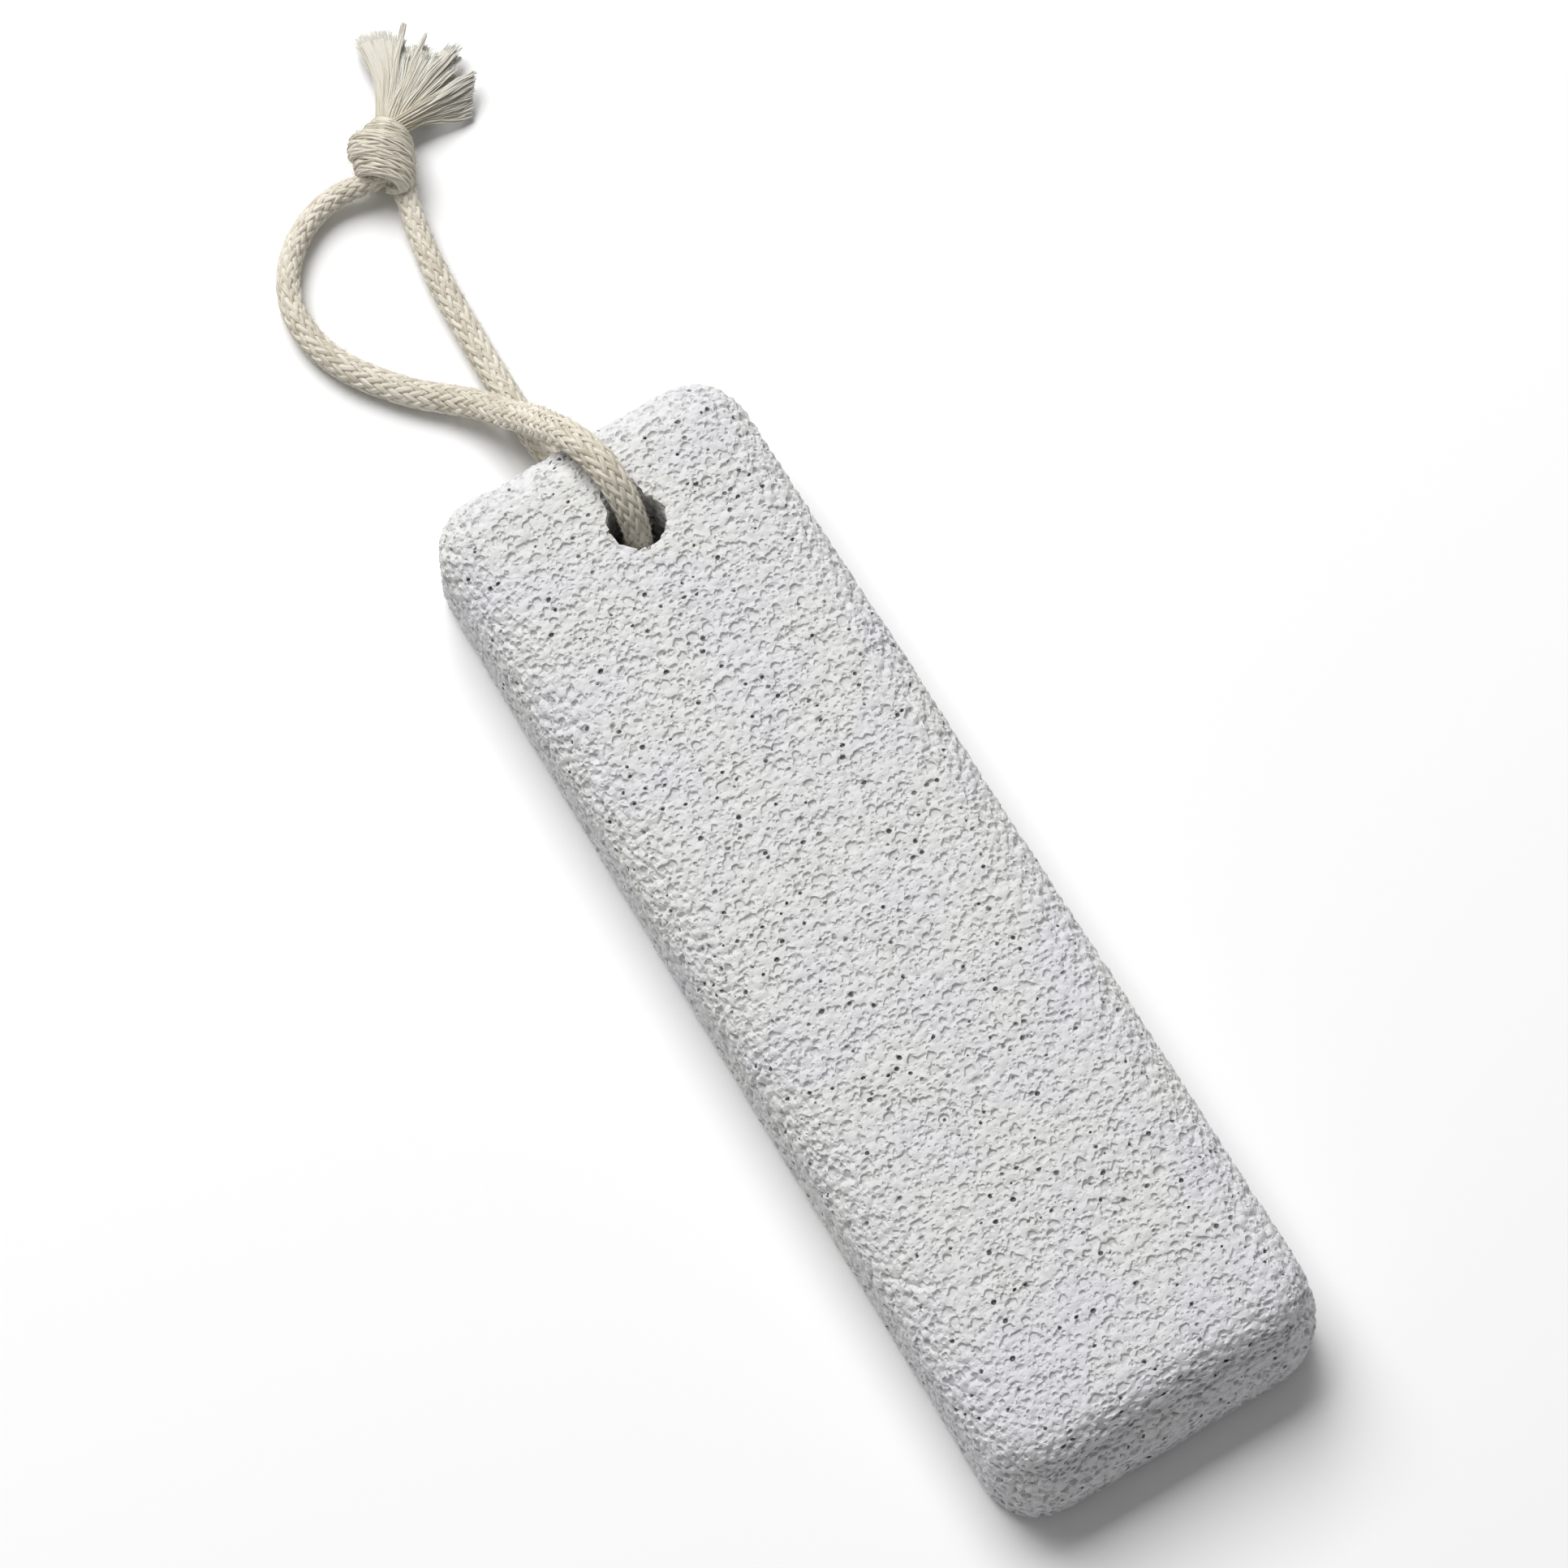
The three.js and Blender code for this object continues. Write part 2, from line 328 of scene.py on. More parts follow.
# %% [markdown]
# ## Cotton: the yarn's finish
# Raw cotton is not one colour: each strand has its own tone, and there are faint patches. The finish also
# paints shade into the colour, greyer down in the grooves between plies and fibres. Along a yarn run fine
# plies that twist round it, and fibres finer than those.
# The braid hands each point three numbers: how far it is along, where round the yarn it lies, and which
# yarn it is. The finish builds the plies from them, so they follow every bend.

# %% Cotton finish
def cotton(name, pale_tone, dark_tone_and_painted_shade, ply_count, ply_lay, streak, bump_depth):
    material = bpy.data.materials.new(name)
    material.use_nodes = True
    tree = material.node_tree
    surface = tree.nodes["Principled BSDF"]
    run = stored(tree, "along")
    ring = stored(tree, "ring", "Vector")
    own = stored(tree, "tone")
    ring_x, ring_y, _ = parts_of(tree, ring)
    angle = calc(tree, "ARCTAN2", ring_y, ring_x)
    turned = calc(tree, "ADD", angle, times(tree, run, 2 * math.pi / ply_lay))
    ply = calc(tree, "SINE", times(tree, turned, float(ply_count)))
    ply = calc(tree, "MULTIPLY_ADD", ply, 0.5, 0.5)
    round_x = calc(tree, "COSINE", turned)
    round_y = calc(tree, "SINE", turned)
    stretched = xyz(tree, calc(tree, "MULTIPLY_ADD", round_x, streak, times(tree, own, 40.0)),
                    times(tree, round_y, streak), times(tree, run, 420.0))
    fibre = noise(tree, stretched, 1.0, 3.0)
    place = node(tree, "ShaderNodeTexCoord").outputs["Object"]
    patch = noise(tree, place, 260.0, 2.0)
    height = calc(tree, "ADD", times(tree, ply, 0.5), times(tree, fibre, 1.3))
    # painted shade: the colour follows the bump's height, so the grooves between plies and fibres come out
    # greyer; the yarn's own tone and the patches are its real colour
    mixed = calc(tree, "MULTIPLY_ADD", fibre, 0.9, times(tree, ply, 0.15))
    mixed = calc(tree, "ADD", mixed, times(tree, own, 0.3))
    mixed = calc(tree, "ADD", mixed, times(tree, patch, 0.3))
    ramp = node(tree, "ShaderNodeValToRGB", {"Fac": mixed})
    ramp.color_ramp.elements[0].position = 0.52
    ramp.color_ramp.elements[0].color = (*dark_tone_and_painted_shade, 1)
    ramp.color_ramp.elements[1].position = 1.0
    ramp.color_ramp.elements[1].color = (*pale_tone, 1)
    bump = node(tree, "ShaderNodeBump", {"Height": height, "Distance": bump_depth * MM, "Strength": 0.9})
    tree.links.new(ramp.outputs["Color"], surface.inputs["Base Color"])
    tree.links.new(bump.outputs["Normal"], surface.inputs["Normal"])
    surface.inputs["Roughness"].default_value = 0.82
    surface.inputs["Specular IOR Level"].default_value = 0.3
    surface.inputs["Sheen Weight"].default_value = 0.25
    surface.inputs["Sheen Roughness"].default_value = 0.5
    return material


raw_cotton = cotton("raw_cotton", (0.80, 0.755, 0.655), (0.46, 0.41, 0.31), 4, 14 * MM, 3.0, 0.06)
# the heart is the same cotton, coloured darker as painted shade where the gaps between yarns look into the
# cord
cord_heart_painted_shade = cotton("cord_heart_painted_shade", (0.52, 0.47, 0.38), (0.34, 0.30, 0.23), 4, 14 * MM, 3.0, 0.05)
print("cotton finishes:", raw_cotton.name, cord_heart_painted_shade.name)

# %% [markdown]
# ## Braid
# The cord is a round braid of twenty-eight soft yarns. Half of them wind one way and half the other,
# and each goes over two and under two. Seen from outside that makes rows of short leaning strokes,
# one row leaning left and the next leaning right, which meet in arrowheads.
# The rule is simple enough for Geometry Nodes: a yarn's angle round the route grows steadily along it,
# and whether it is on top depends only on that angle. One tree lays all the yarns at once.

# %% Braid tree
def braid_tree(finish, heart_in_painted_shade):
    tree, given = new_tree(
        "braid", Carriers=28, Steps=600, From=0.0, To=1.0, Length=0.19, Lay=0.028,
        Lift=0.0002, YarnWidth=0.0004, YarnDepth=0.00025, Slack=0.0001,
        HeartShare=0.86, HeartFlat=1.0,
    )
    get = {socket.name: socket for socket in given}
    path = geo(tree, "MeshToCurve", {0: get["Geometry"]})
    line = geo(tree, "CurvePrimitiveLine", {"End": (1.0, 0.0, 0.0)})
    line = geo(tree, "ResampleCurve", {"Curve": line, "Count": get["Steps"]})
    copies = node(tree, "GeometryNodeDuplicateElements",
                  {"Geometry": line, "Amount": get["Carriers"]}, domain="SPLINE")
    index = node(tree, "GeometryNodeFieldOnDomain", {0: copies.outputs[1]}, domain="CURVE", data_type="INT")
    carrier = index.outputs[0]
    # which way this yarn winds, and where it starts
    way = calc(tree, "MULTIPLY_ADD", calc(tree, "MODULO", carrier, 2.0), 2.0, -1.0)
    start = calc(tree, "FLOOR", times(tree, carrier, 0.5))
    start = calc(tree, "DIVIDE", times(tree, start, 4 * math.pi), get["Carriers"])
    factor = node(tree, "GeometryNodeSplineParameter").outputs["Factor"]
    reach = calc(tree, "SUBTRACT", get["To"], get["From"])
    where = calc(tree, "MULTIPLY_ADD", factor, reach, get["From"])
    run = times(tree, where, get["Length"])
    turns = calc(tree, "DIVIDE", times(tree, run, 2 * math.pi), get["Lay"])
    angle = calc(tree, "MULTIPLY_ADD", turns, way, start)
    # over two, under two
    rows = times(tree, get["Carriers"], 0.25)
    weave = calc(tree, "COSINE", calc(tree, "MULTIPLY_ADD", angle, rows, -math.pi / 4))
    steep = calc(tree, "MULTIPLY_ADD", times(tree, weave, weave), -0.35, 1.35)
    over = times(tree, times(tree, weave, steep), way)
    # the point on the route, and the directions there
    spot = along_route(tree, path, where, "side")
    above = along_route(tree, path, where, "up")
    jitter_place = xyz(tree, times(tree, run, 330.0), times(tree, carrier, 3.7), 0.0)
    jitter = wander(tree, jitter_place, 1.0)
    jitter_x, jitter_y, jitter_z = parts_of(tree, jitter)
    angle = calc(tree, "MULTIPLY_ADD", jitter_y, 0.05, angle)
    across = scaled(tree, spot.outputs["Value"], calc(tree, "COSINE", angle))
    upward = scaled(tree, above.outputs["Value"], calc(tree, "SINE", angle))
    from_middle = vector_calc(tree, "ADD", across, upward)
    outward = vector_calc(tree, "NORMALIZE", from_middle)
    lift = calc(tree, "MULTIPLY_ADD", over, get["Lift"], times(tree, jitter_x, get["Slack"]))
    place = vector_calc(tree, "ADD", spot.outputs["Position"], from_middle)
    place = vector_calc(tree, "ADD", place, scaled(tree, outward, lift))
    yarns = geo(tree, "SetPosition", {"Geometry": copies.outputs[0], "Position": place})
    yarns = store(tree, yarns, "along", run)
    yarns = store(tree, yarns, "tone", node(tree, "FunctionNodeRandomValue",
                  {"Min": 0.0, "Max": 1.0, "ID": carrier, "Seed": 5}, data_type="FLOAT").outputs["Value"])
    yarns = geo(tree, "SetCurveNormal", {"Curve": yarns, "Normal": outward}, mode="FREE")
    fuller = calc(tree, "MULTIPLY_ADD", jitter_z, 0.12, 1.0)
    # the yarn's section, flatter than it is wide
    section = geo(tree, "CurvePrimitiveCircle", {"Resolution": 7, "Radius": 1.0})
    section = store(tree, section, "ring", geo(tree, "InputPosition"), "FLOAT_VECTOR")
    section = geo(tree, "Transform", {"Geometry": section,
                  "Scale": xyz(tree, get["YarnDepth"], get["YarnWidth"], 1.0)})
    braid = geo(tree, "CurveToMesh", {"Curve": yarns, "Profile Curve": section,
                "Scale": fuller, "Fill Caps": True})
    braid = geo(tree, "SetMaterial", {"Geometry": braid, "Material": finish})
    # the heart that closes the view through the gaps, on the same route, coloured darker than the yarns as
    # painted shade in the gaps
    inner = geo(tree, "ResampleCurve", {"Curve": line, "Count": 140})
    inner = geo(tree, "SetPosition",
                {"Geometry": inner, "Position": spot.outputs["Position"]})
    inner = geo(tree, "SetCurveNormal",
                {"Curve": inner, "Normal": above.outputs["Value"]}, mode="FREE")
    wide = vector_calc(tree, "LENGTH", spot.outputs["Value"])
    ring = geo(tree, "CurvePrimitiveCircle", {"Resolution": 12, "Radius": 1.0})
    ring = geo(tree, "Transform",
               {"Geometry": ring, "Scale": xyz(tree, get["HeartFlat"], 1.0, 1.0)})
    inner = geo(tree, "CurveToMesh", {"Curve": inner, "Profile Curve": ring,
                "Scale": times(tree, wide, get["HeartShare"]), "Fill Caps": True})
    inner = geo(tree, "SetMaterial", {"Geometry": inner, "Material": heart_in_painted_shade})
    both = geo(tree, "JoinGeometry")
    tree.links.new(inner, both.node.inputs[0])
    tree.links.new(braid, both.node.inputs[0])
    real = geo(tree, "RealizeInstances", {"Geometry": both})
    tree.links.new(real, tree.nodes.new("NodeGroupOutput").inputs[0])
    return tree


braid = braid_tree(raw_cotton, cord_heart_painted_shade)
print("braid tree has", len(braid.nodes), "nodes")

# %% Lay the two strands
cut_point = np.array([-59.3, 1.6, 12.3])
cut = int(np.argmin(np.linalg.norm(route - cut_point, axis=1)))
cut_share = cut / (len(route) - 1)
whole = {"Carriers": 28, "Length": route_length * MM, "Lay": 28 * MM}
strand_behind = run_tree("strand_behind", cord_path, braid, From=0.0, To=cut_share, Steps=260, **whole)
strand_in_front = run_tree("strand_in_front", cord_path, braid, From=cut_share, To=1.0, Steps=460, **whole)

# %% [markdown]
# ## Knot
# Both strands go side by side into one overhand knot, pulled tight. Such a knot is hard to read from
# outside: what shows is the same braid wrapped about three times round its own middle, squeezed flat,
# with its yarns pulled almost straight, so they run as fine wavy ridges across the knot.
# So the knot reuses the braid tree on a short winding path. The path is a spiral about the knot's own axis,
# wider in the middle, leaning down on one side, and both of its ends are tucked inside.

# %% Knot path
KNOT_CENTRE = np.array([-125.9, 1.7, 4.75])
KNOT_TURN = math.radians(144.5)
KNOT_AXIS = np.array([math.cos(KNOT_TURN), math.sin(KNOT_TURN), 0.0])  # towards the loose yarn
KNOT_RIGHT = np.array([math.sin(KNOT_TURN), -math.cos(KNOT_TURN), 0.0])
# angle about the axis, place along it, shift to the right, radius across, radius up and down
WRAPS = [
    (240, 4.0, 0.2, 0.5, 0.6),
    (180, 3.5, -0.2, 1.7, 1.6),
    (90, 3.1, -0.2, 1.9, 1.9),
    (0, 2.3, -0.1, 2.3, 2.4),
    (-90, 1.4, -0.5, 2.9, 2.8),
    (-180, 0.7, -0.7, 3.3, 3.2),
    (-270, 0.1, -0.5, 3.3, 3.3),
    (-360, -0.8, -0.25, 3.2, 3.2),
    (-450, -1.2, -0.1, 3.1, 3.0),
    (-540, -1.5, -0.1, 2.9, 2.8),
    (-630, -2.2, 0.3, 2.8, 2.6),
    (-720, -3.3, 0.8, 2.4, 2.2),
    (-800, -3.0, 0.5, 0.9, 1.0),
]
angles, along, shift, across, tall = np.array(WRAPS, float).T
turn = np.linspace(angles[0], angles[-1], 260)
pick = [np.interp(-turn, -angles, values) for values in (along, shift, across, tall)]
ease = np.ones(9) / 9  # rounds the corners between the listed places
pick = [np.convolve(np.pad(values, 4, "edge"), ease, "valid") for values in pick]
swing = np.radians(turn)
knot_path = (KNOT_CENTRE + np.outer(pick[0], KNOT_AXIS)
             + np.outer(pick[1] + pick[2] * np.cos(swing), KNOT_RIGHT)
             + np.outer(pick[3] * np.sin(swing), (0, 0, 1)))
# the strand lies flat on the body of the knot, which narrows towards the loose yarn
lean = np.radians(np.interp(pick[0], (-4.0, -1.0, 0.6, 2.4, 4.0), (-22, -6, 4, 34, 42)))
outward = np.outer(np.cos(swing), KNOT_RIGHT) + np.outer(np.sin(swing), (0, 0, 1))
knot_flat = np.outer(np.cos(lean), KNOT_AXIS) - outward * np.sin(lean)[:, None]
knot_length = np.linalg.norm(np.diff(knot_path, axis=0), axis=1).sum()
print("wrapped in the knot:", round(knot_length), "mm")

# %% Tie the knot
KNOT_HALF_WIDTH = 1.75
KNOT_HALF_DEPTH = 0.9
flat = np.ones(len(knot_path))
knot_line = path_mesh("knot_path", knot_path, knot_flat,
                      KNOT_HALF_WIDTH * flat, KNOT_HALF_DEPTH * flat, locked=True)
knot = run_tree("knot_wraps", knot_line, braid, Carriers=36, Steps=260, From=0.0, To=1.0,
                Length=knot_length * MM, Lay=66 * MM, Lift=0.09 * MM, YarnWidth=0.28 * MM,
                YarnDepth=0.18 * MM, Slack=0.12 * MM, HeartShare=0.97, HeartFlat=0.5)

# %% [markdown]
# ## Loose yarn
# Past the knot the braid is undone and combed out. Its yarns fan out side by side, most of them cut nearly
# square, two of them ending in a point, and a row of them curling over to one side. A few fibres stray.
# Modelling each fibre by hand is hopeless, and a solid fan would look like card.
# So each yarn is one guide line with a width and a thickness, and a tree copies it some fifty times.
# A fibre first keeps to its own strand, then drifts towards its own place as the yarn opens.
# A thin flat blade inside each yarn stops the eye from looking through it to the table.

# %% Yarns of the fan: direction, reach, height of the tip, bow
NECK = np.array([-129.4, 4.3, 4.5])
FAN = [
    (167.2, 14.8, 2.0, 0.7), (164.6, 14.9, 2.6, 0.6), (162.2, 14.7, 2.0, 0.6), (159.6, 14.0, 3.0, 0.5),
    (157.2, 14.6, 3.6, 0.4), (154.4, 14.7, 2.6, 0.4), (151.6, 14.3, 3.4, 0.3), (149.0, 13.2, 2.4, 0.2),
    (146.6, 13.6, 3.4, 0.1), (144.2, 13.8, 2.4, 0.0), (141.4, 12.6, 2.8, 0.0),
    (138.8, 11.2, 3.6, 0.1), (136.2, 11.1, 2.0, 0.1), (133.4, 12.8, 3.0, 0.0),
    (129.2, 13.6, 2.4, -0.1), (126.8, 12.2, 3.8, 0.0), (124.0, 12.1, 2.2, 0.1), (121.4, 12.6, 3.4, 0.0),
    (118.8, 13.2, 2.4, 0.0), (116.4, 15.1, 3.0, -0.1), (113.8, 15.6, 2.6, -0.1), (111.4, 14.5, 1.8, -0.1),
    (108.6, 12.9, 2.4, 0.0), (105.8, 12.3, 1.6, 0.1), (103.2, 11.2, 1.8, 0.2),
    # a second layer under the first
    (161.0, 12.4, 1.0, 0.6), (155.6, 12.5, 1.0, 0.3), (150.2, 11.7, 1.2, 0.2), (145.0, 11.3, 1.0, 0.1),
    (140.0, 12.0, 2.2, 0.0), (137.4, 12.0, 2.8, 0.1), (134.8, 12.1, 2.2, 0.0), (131.2, 13.2, 2.6, 0.0),
    (139.6, 10.1, 1.2, 0.0), (134.0, 10.7, 1.0, 0.0), (128.4, 11.0, 1.2, 0.0), (122.6, 11.4, 1.0, 0.0),
    (117.0, 12.3, 1.2, 0.0), (111.0, 12.0, 1.0, 0.0),
]
POINTED = [(143.0, 15.5, 3.8, -0.2), (131.2, 14.9, 3.4, -0.1)]
STRAYS = [(171.3, 14.0, 1.6, 0.7), (168.9, 14.9, 2.4, 0.5)]
# the lock that curls over, between its lower and its upper edge
CURL_LOWER = np.array([
    (-128.2, 4.6, 4.0), (-128.1, 8.4, 3.4), (-127.5, 11.4, 2.2), (-127.0, 13.4, 1.2), (-126.9, 15.2, 1.0),
])
CURL_UPPER = np.array([
    (-129.4, 4.6, 4.8), (-129.6, 8.6, 4.8), (-130.1, 12.2, 4.3), (-130.7, 15.6, 3.6), (-130.9, 18.2, 2.8),
])
CURL_YARNS = 13


def guide_points(direction, reach, tip_height, bow):
    heading = math.radians(direction)
    forward = np.array([math.cos(heading), math.sin(heading), 0.0])
    sideways = np.array([forward[1], -forward[0], 0.0])
    spot_in_neck = np.interp(direction, (100, 171), (1.5, -1.55))
    inside = NECK - 1.8 * KNOT_AXIS + 0.7 * spot_in_neck * KNOT_RIGHT
    leaving = NECK + 1.0 * KNOT_AXIS + spot_in_neck * KNOT_RIGHT
    middle = NECK + 0.52 * reach * forward + bow * sideways
    tip = NECK + reach * forward
    middle[2] = 0.45 * NECK[2] + 0.55 * tip_height + 0.5
    tip[2] = tip_height
    return [inside, leaving, middle, tip]


# %% Guide lines as one mesh of loose edges
# Each guide is one yarn: its points, widths at both ends, thickness at both ends, number of fibres.
def yarns_mesh():
    guides = [(guide_points(*yarn), (0.9, 1.75), (0.6, 0.16), 48) for yarn in FAN]
    guides += [(guide_points(*yarn), (1.6, 0.35), (0.7, 0.2), 80) for yarn in POINTED]
    guides += [(guide_points(*yarn), (0.1, 0.15), (0.1, 0.1), 3) for yarn in STRAYS]
    for share_up in np.linspace(0, 1, CURL_YARNS):
        guides.append((CURL_LOWER + share_up * (CURL_UPPER - CURL_LOWER), (0.9, 1.0), (0.6, 0.2), 52))
    points, edges = [], []
    values = {"wide": [], "thick": [], "fibres": [], "yarn": []}
    for number, (guide, width, thickness, fibres) in enumerate(guides):
        line = smooth_curve(guide, 0.4)[0]
        first = len(points)
        t = np.linspace(0, 1, len(line))
        edges += [(first + k, first + k + 1) for k in range(len(line) - 1)]
        points += list(line * MM)
        values["wide"] += list((width[0] + (width[1] - width[0]) * t) * MM)
        values["thick"] += list((thickness[0] + (thickness[1] - thickness[0]) * t) * MM)
        for name, value in (("fibres", fibres), ("yarn", number)):
            values[name] += [float(value)] * len(line)
    mesh = bpy.data.meshes.new("yarns")
    mesh.from_pydata(points, edges, [])
    for name, numbers in values.items():
        mesh.attributes.new(name, "FLOAT", "POINT").data.foreach_set("value", numbers)
    print(len(guides), "yarns,", int(sum(guide[3] for guide in guides)), "fibres")
    return mesh


# %% Fibre tree
def fibre_tree(finish):
    tree, given = new_tree("loose_yarn", Points=12, FibreRadius=0.00008, Stray=0.0006, BladeShare=0.95)
    get = {socket.name: socket for socket in given}
    lines = geo(tree, "MeshToCurve", {0: get["Geometry"]})
    lines = geo(tree, "ResampleCurve", {"Curve": lines, "Count": get["Points"]})
    copies = geo(tree, "DuplicateElements",
                 {"Geometry": lines, "Amount": attribute(tree, "fibres")}, domain="SPLINE")
    # every fibre belongs to one of three strands of its yarn
    strand = calc(tree, "FLOOR", times(tree, chance(tree, 11, 0.0, 0.9999), 3.0))
    yarn = calc(tree, "MULTIPLY_ADD", attribute(tree, "yarn"), 60.0, strand)
    yarn = geo(tree, "FieldOnDomain", {0: yarn}, domain="CURVE", data_type="FLOAT")
    factor = node(tree, "GeometryNodeSplineParameter").outputs["Factor"]
    own_share = calc(tree, "MULTIPLY_ADD", factor, 0.42, 0.36)
    yarn_share = calc(tree, "SUBTRACT", 1.0, own_share)
    sides = []
    for yarn_seed, fibre_seed in ((21, 31), (22, 32)):
        together = times(tree, chance(tree, yarn_seed, of=yarn), yarn_share)
        sides.append(calc(tree, "MULTIPLY_ADD", chance(tree, fibre_seed), own_share, together))
    tangent = geo(tree, "InputTangent")
    right = vector_calc(tree, "CROSS_PRODUCT", tangent, (0.0, 0.0, 1.0))
    right = vector_calc(tree, "NORMALIZE", right)
    half_wide = times(tree, attribute(tree, "wide"), 0.5)
    half_thick = times(tree, attribute(tree, "thick"), 0.5)
    shift = scaled(tree, right, times(tree, sides[0], half_wide))
    shift = vector_calc(tree, "ADD", shift, xyz(tree, 0.0, 0.0, times(tree, sides[1], half_thick)))
    yarn_sway = wander(tree, xyz(tree, times(tree, factor, 2.2), times(tree, yarn, 7.3)), 1.0)
    own_sway = wander(tree, xyz(tree, times(tree, factor, 4.0),
                      times(tree, chance(tree, 41), 400.0), 9.0), 1.0)
    sway = vector_calc(tree, "ADD", yarn_sway, scaled(tree, own_sway, 0.45))
    grows = times(tree, calc(tree, "MULTIPLY_ADD", factor, 0.8, 0.2), get["Stray"])
    shift = vector_calc(tree, "ADD", shift, scaled(tree, sway, grows))
    place = vector_calc(tree, "ADD", geo(tree, "InputPosition"), shift)
    x, y, z = parts_of(tree, place)
    place = xyz(tree, x, y, calc(tree, "MAXIMUM", z, 0.12 * MM))
    fibres = geo(tree, "SetPosition", {"Geometry": copies, "Position": place})
    fibres = store(tree, fibres, "open", factor)
    fibres = store(tree, fibres, "tone", calc(tree, "MULTIPLY_ADD", chance(tree, 51, 0.0, 1.0, of=yarn), 0.7,
                   times(tree, chance(tree, 52, 0.0, 1.0), 0.3)))
    cut_off = times(tree, calc(tree, "POWER", chance(tree, 61, 0.0, 1.0), 2.0), 0.13)
    ragged = calc(tree, "SUBTRACT", 1.0, cut_off)
    fibres = geo(tree, "TrimCurve", {"Curve": fibres, "End": ragged}, mode="FACTOR")
    # a thin flat blade at the heart of each yarn closes the view through its fibres
    yarn_middle = vector_calc(tree, "ADD", geo(tree, "InputPosition"),
                              scaled(tree, yarn_sway, times(tree, grows, 0.5)))
    blades = geo(tree, "SetPosition", {"Geometry": lines, "Position": yarn_middle})
    blades = store(tree, blades, "open", factor)
    blades = store(tree, blades, "tone", 0.35)
    blades = geo(tree, "TrimCurve", {"Curve": blades, "End": 0.91}, mode="FACTOR")
    blades = geo(tree, "SetCurveNormal", {"Curve": blades, "Normal": (0.0, 0.0, 1.0)},
                 mode="FREE")
    flat = geo(tree, "CurvePrimitiveCircle", {"Resolution": 10, "Radius": 1.0})
    flat = geo(tree, "Transform", {"Geometry": flat, "Scale": (0.16, 1.0, 1.0)})
    blades = geo(tree, "CurveToMesh", {"Curve": blades, "Profile Curve": flat,
                 "Scale": times(tree, half_wide, get["BladeShare"]), "Fill Caps": True})
    # three sides, one of them on top, so a fibre takes the light from above like a round one
    fibres = geo(tree, "SetCurveNormal", {"Curve": fibres, "Normal": (0.0, 0.0, 1.0)},
                 mode="FREE")
    section = geo(tree, "CurvePrimitiveCircle", {"Resolution": 3, "Radius": get["FibreRadius"]})
    section = geo(tree, "Transform", {"Geometry": section, "Rotation": (0.0, 0.0, math.pi)})
    thinner = calc(tree, "MULTIPLY_ADD", factor, -0.6, 1.25)
    mesh = geo(tree, "CurveToMesh", {"Curve": fibres, "Profile Curve": section,
               "Scale": thinner, "Fill Caps": True})
    both = geo(tree, "JoinGeometry")
    tree.links.new(blades, both.node.inputs[0])
    tree.links.new(mesh, both.node.inputs[0])
    close_tree(tree, both, finish)
    return tree


# %% Loose fibre finish
def loose_finish():
    material = bpy.data.materials.new("loose_cotton")
    material.use_nodes = True
    tree = material.node_tree
    surface = tree.nodes["Principled BSDF"]
    opened = stored(tree, "open")
    own = stored(tree, "tone")
    blend = calc(tree, "MULTIPLY_ADD", opened, 0.60, times(tree, own, 0.5))
    ramp = node(tree, "ShaderNodeValToRGB", {"Fac": blend})
    ramp.color_ramp.elements[0].position = 0.15
    ramp.color_ramp.elements[0].color = (0.57, 0.51, 0.39, 1)
    ramp.color_ramp.elements[1].position = 0.95
    ramp.color_ramp.elements[1].color = (0.715, 0.70, 0.64, 1)
    tree.links.new(ramp.outputs["Color"], surface.inputs["Base Color"])
    surface.inputs["Roughness"].default_value = 0.8
    surface.inputs["Specular IOR Level"].default_value = 0.25
    surface.inputs["Sheen Weight"].default_value = 0.2
    # a yarn scatters light between its fibres, so it is lit more like one sheet than like separate rods;
    # each normal is only turned towards straight up or straight down, and stays on its own face's side
    own_normal = node(tree, "ShaderNodeNewGeometry").outputs["Normal"]
    shared = vector_calc(tree, "MULTIPLY", own_normal, (0.35, 0.35, 1.0))
    tree.links.new(vector_calc(tree, "NORMALIZE", shared), surface.inputs["Normal"])
    return material


# %% Comb the yarn out
fibre_finish = loose_finish()
frays = run_tree("loose_yarn", yarns_mesh(), fibre_tree(fibre_finish), Points=12)

# %% [markdown]
# ## Fuzz
# Cotton yarn is spun from short fibres, and their ends stand off it as a thin fuzz that softens every edge.
# Each hair starts at a random place on the route, at a random angle round it, and bends over as it leaves.
# Hair particles would need a whole system for this. A few nodes place the hairs, and they stay mesh.

